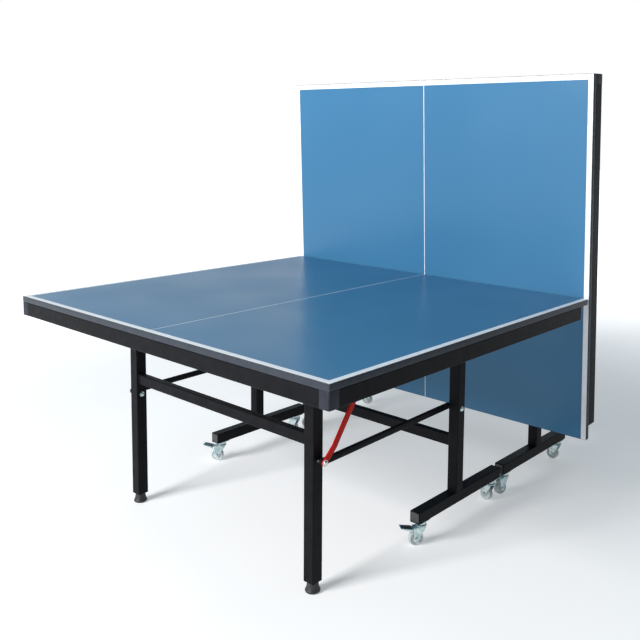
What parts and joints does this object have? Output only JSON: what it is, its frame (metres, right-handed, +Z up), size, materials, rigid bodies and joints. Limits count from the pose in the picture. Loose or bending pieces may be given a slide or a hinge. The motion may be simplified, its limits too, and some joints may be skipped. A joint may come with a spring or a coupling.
{
  "type": "folding table tennis table",
  "caption": "Folding table tennis table: each half tilts upright on its own castor trolley and its leg frame folds with it.",
  "frame": {"origin": "middle of the footprint, on the floor", "axes": "+X across the table, +Y along the direction of play from the half in play towards the upright half, +Z up"},
  "size_m": [1.525, 1.6714, 1.5845],
  "materials": {
    "table_top": "matt blue lacquer on board, with painted white lines",
    "edge_band": "dark grey plastic edging",
    "frame_steel": "satin black powder coat",
    "corner_plastic": "moulded, fine grain",
    "plug_plastic": "moulded",
    "zinc": "bright zinc plate",
    "foot_rubber": "matt",
    "red_steel": "red powder coat",
    "castor_plastic": "pale translucent grey polyurethane",
    "zinc_pedal": "bright zinc plate"
  },
  "bodies": {
    "trolley_a": {"foot_bars_a": "frame_steel", "posts_a": "frame_steel", "trolley_crossbar_a": "frame_steel", "bar_plugs_a": "plug_plastic", "post_bolts_a": "zinc", "castor_stems_a": "zinc"},
    "half_a": {"board_a": "table_top", "edge_bands_a": "edge_band", "end_apron_a": "frame_steel", "side_aprons_a": "frame_steel", "corner_caps_a": "corner_plastic", "underframe_a": "frame_steel", "pivot_brackets_a": "frame_steel", "leg_brackets_a": "frame_steel"},
    "leg_frame_a": {"legs_a": "frame_steel", "leg_crossbar_a": "frame_steel", "leg_feet_a": "foot_rubber", "leg_bolts_a": "zinc"},
    "links_a": {"leg_links_a": "frame_steel"},
    "lever_a": {"safety_lever_a": "red_steel"},
    "trolley_b": {"foot_bars_b": "frame_steel", "posts_b": "frame_steel", "trolley_crossbar_b": "frame_steel", "bar_plugs_b": "plug_plastic", "post_bolts_b": "zinc", "castor_stems_b": "zinc"},
    "half_b": {"board_b": "table_top", "edge_bands_b": "edge_band", "end_apron_b": "frame_steel", "side_aprons_b": "frame_steel", "corner_caps_b": "corner_plastic", "underframe_b": "frame_steel", "pivot_brackets_b": "frame_steel", "leg_brackets_b": "frame_steel"},
    "leg_frame_b": {"legs_b": "frame_steel", "leg_crossbar_b": "frame_steel", "leg_feet_b": "foot_rubber", "leg_bolts_b": "zinc"},
    "links_b": {"leg_links_b": "frame_steel"},
    "lever_b": {"safety_lever_b": "red_steel"},
    "fork_right_outer_a": {"castor_fork_right_outer_a": "zinc"},
    "wheel_right_outer_a": {"castor_wheel_right_outer_a": "castor_plastic"},
    "pedal_right_outer_a": {"brake_pedal_right_outer_a": "zinc_pedal"},
    "fork_right_net_a": {"castor_fork_right_net_a": "zinc"},
    "wheel_right_net_a": {"castor_wheel_right_net_a": "castor_plastic"},
    "fork_left_outer_a": {"castor_fork_left_outer_a": "zinc"},
    "wheel_left_outer_a": {"castor_wheel_left_outer_a": "castor_plastic"},
    "pedal_left_outer_a": {"brake_pedal_left_outer_a": "zinc_pedal"},
    "fork_left_net_a": {"castor_fork_left_net_a": "zinc"},
    "wheel_left_net_a": {"castor_wheel_left_net_a": "castor_plastic"},
    "fork_right_outer_b": {"castor_fork_right_outer_b": "zinc"},
    "wheel_right_outer_b": {"castor_wheel_right_outer_b": "castor_plastic"},
    "pedal_right_outer_b": {"brake_pedal_right_outer_b": "zinc_pedal"},
    "fork_right_net_b": {"castor_fork_right_net_b": "zinc"},
    "wheel_right_net_b": {"castor_wheel_right_net_b": "castor_plastic"},
    "fork_left_outer_b": {"castor_fork_left_outer_b": "zinc"},
    "wheel_left_outer_b": {"castor_wheel_left_outer_b": "castor_plastic"},
    "pedal_left_outer_b": {"brake_pedal_left_outer_b": "zinc_pedal"},
    "fork_left_net_b": {"castor_fork_left_net_b": "zinc"},
    "wheel_left_net_b": {"castor_wheel_left_net_b": "castor_plastic"}
  },
  "joints": [
    {"name": "fold_a", "type": "hinge", "parent": "trolley_a", "child": "half_a", "pos_m": [0, 0.05228, 0.697], "axis": [-1, 0, 0], "range_deg": [0, 92.2]},
    {"name": "leg_fold_a", "type": "hinge", "parent": "half_a", "child": "leg_frame_a", "pos_m": [0, -0.57273, 0.688], "axis": [-1, 0, 0], "range_deg": [-92.2, 0]},
    {"name": "link_turn_a", "type": "hinge", "parent": "trolley_a", "child": "links_a", "pos_m": [0, 0.05228, 0.417], "axis": [-1, 0, 0], "range_deg": [0, 92.2]},
    {"name": "lever_swing_a", "type": "hinge", "parent": "leg_frame_a", "child": "lever_a", "pos_m": [0.493, -0.57273, 0.408], "axis": [1, 0, 0], "range_deg": [0, 87.6]},
    {"name": "trolley_roll_b", "type": "slide", "parent": "trolley_a", "child": "trolley_b", "axis": [0, 1, 0], "range_m": [0, 0.4226]},
    {"name": "fold_b", "type": "hinge", "parent": "trolley_b", "child": "half_b", "pos_m": [0, 0.60772, 0.697], "axis": [-1, 0, 0], "range_deg": [0, 92.2]},
    {"name": "leg_fold_b", "type": "hinge", "parent": "half_b", "child": "leg_frame_b", "pos_m": [0, 0.59273, 1.32188], "axis": [-1, 0, 0], "range_deg": [-92.2, 0]},
    {"name": "link_turn_b", "type": "hinge", "parent": "trolley_b", "child": "links_b", "pos_m": [0, 0.60772, 0.417], "axis": [-1, 0, 0], "range_deg": [0, 92.2]},
    {"name": "lever_swing_b", "type": "hinge", "parent": "leg_frame_b", "child": "lever_b", "pos_m": [-0.493, 0.59273, 1.04188], "axis": [1, 0, 0], "range_deg": [0, 87.6]},
    {"name": "swivel_right_outer_a", "type": "hinge", "parent": "trolley_a", "child": "fork_right_outer_a", "pos_m": [0.52, -0.14072, 0.06], "axis": [0, 0, 1], "continuous": true},
    {"name": "roll_right_outer_a", "type": "hinge", "parent": "fork_right_outer_a", "child": "wheel_right_outer_a", "pos_m": [0.50968, -0.15547, 0.025], "axis": [0.8192, -0.5736, 0], "continuous": true},
    {"name": "brake_right_outer_a", "type": "hinge", "parent": "fork_right_outer_a", "child": "pedal_right_outer_a", "pos_m": [0.50738, -0.15875, 0.057], "axis": [0.8192, -0.5736, 0], "range_deg": [0, 8]},
    {"name": "swivel_right_net_a", "type": "hinge", "parent": "trolley_a", "child": "fork_right_net_a", "pos_m": [0.52, 0.28227, 0.06], "axis": [0, 0, 1], "continuous": true},
    {"name": "roll_right_net_a", "type": "hinge", "parent": "fork_right_net_a", "child": "wheel_right_net_a", "pos_m": [0.50227, 0.2854, 0.025], "axis": [-0.1736, -0.9848, 0], "continuous": true},
    {"name": "swivel_left_outer_a", "type": "hinge", "parent": "trolley_a", "child": "fork_left_outer_a", "pos_m": [-0.52, -0.14072, 0.06], "axis": [0, 0, 1], "continuous": true},
    {"name": "roll_left_outer_a", "type": "hinge", "parent": "fork_left_outer_a", "child": "wheel_left_outer_a", "pos_m": [-0.53475, -0.15105, 0.025], "axis": [0.5736, -0.8192, 0], "continuous": true},
    {"name": "brake_left_outer_a", "type": "hinge", "parent": "fork_left_outer_a", "child": "pedal_left_outer_a", "pos_m": [-0.53802, -0.15334, 0.057], "axis": [0.5736, -0.8192, 0], "range_deg": [0, 8]},
    {"name": "swivel_left_net_a", "type": "hinge", "parent": "trolley_a", "child": "fork_left_net_a", "pos_m": [-0.52, 0.28227, 0.06], "axis": [0, 0, 1], "continuous": true},
    {"name": "roll_left_net_a", "type": "hinge", "parent": "fork_left_net_a", "child": "wheel_left_net_a", "pos_m": [-0.53773, 0.27915, 0.025], "axis": [0.1736, -0.9848, 0], "continuous": true},
    {"name": "swivel_right_outer_b", "type": "hinge", "parent": "trolley_b", "child": "fork_right_outer_b", "pos_m": [0.52, 0.80073, 0.06], "axis": [0, 0, 1], "continuous": true},
    {"name": "roll_right_outer_b", "type": "hinge", "parent": "fork_right_outer_b", "child": "wheel_right_outer_b", "pos_m": [0.502, 0.80073, 0.025], "axis": [0, -1, 0], "continuous": true},
    {"name": "brake_right_outer_b", "type": "hinge", "parent": "fork_right_outer_b", "child": "pedal_right_outer_b", "pos_m": [0.498, 0.80073, 0.057], "axis": [0, -1, 0], "range_deg": [0, 8]},
    {"name": "swivel_right_net_b", "type": "hinge", "parent": "trolley_b", "child": "fork_right_net_b", "pos_m": [0.52, 0.37772, 0.06], "axis": [0, 0, 1], "continuous": true},
    {"name": "roll_right_net_b", "type": "hinge", "parent": "fork_right_net_b", "child": "wheel_right_net_b", "pos_m": [0.51534, 0.36034, 0.025], "axis": [0.9659, -0.2588, 0], "continuous": true},
    {"name": "swivel_left_outer_b", "type": "hinge", "parent": "trolley_b", "child": "fork_left_outer_b", "pos_m": [-0.52, 0.80073, 0.06], "axis": [0, 0, 1], "continuous": true},
    {"name": "roll_left_outer_b", "type": "hinge", "parent": "fork_left_outer_b", "child": "wheel_left_outer_b", "pos_m": [-0.53691, 0.79457, 0.025], "axis": [0.342, -0.9397, 0], "continuous": true},
    {"name": "brake_left_outer_b", "type": "hinge", "parent": "fork_left_outer_b", "child": "pedal_left_outer_b", "pos_m": [-0.54067, 0.7932, 0.057], "axis": [0.342, -0.9397, 0], "range_deg": [0, 8]},
    {"name": "swivel_left_net_b", "type": "hinge", "parent": "trolley_b", "child": "fork_left_net_b", "pos_m": [-0.52, 0.37772, 0.06], "axis": [0, 0, 1], "continuous": true},
    {"name": "roll_left_net_b", "type": "hinge", "parent": "fork_left_net_b", "child": "wheel_left_net_b", "pos_m": [-0.529, 0.36214, 0.025], "axis": [0.866, -0.5, 0], "continuous": true}
  ],
  "couplings": [
    {"joint": "leg_fold_a", "follows": "fold_a", "ratio": -1},
    {"joint": "link_turn_a", "follows": "fold_a", "ratio": 1},
    {"joint": "lever_swing_a", "follows": "fold_a", "ratio": 0.95},
    {"joint": "leg_fold_b", "follows": "fold_b", "ratio": -1},
    {"joint": "link_turn_b", "follows": "fold_b", "ratio": 1},
    {"joint": "lever_swing_b", "follows": "fold_b", "ratio": 0.95},
    {"joint": "trolley_roll_b", "follows": "fold_b", "m_per_rad": 0.26255}
  ]
}
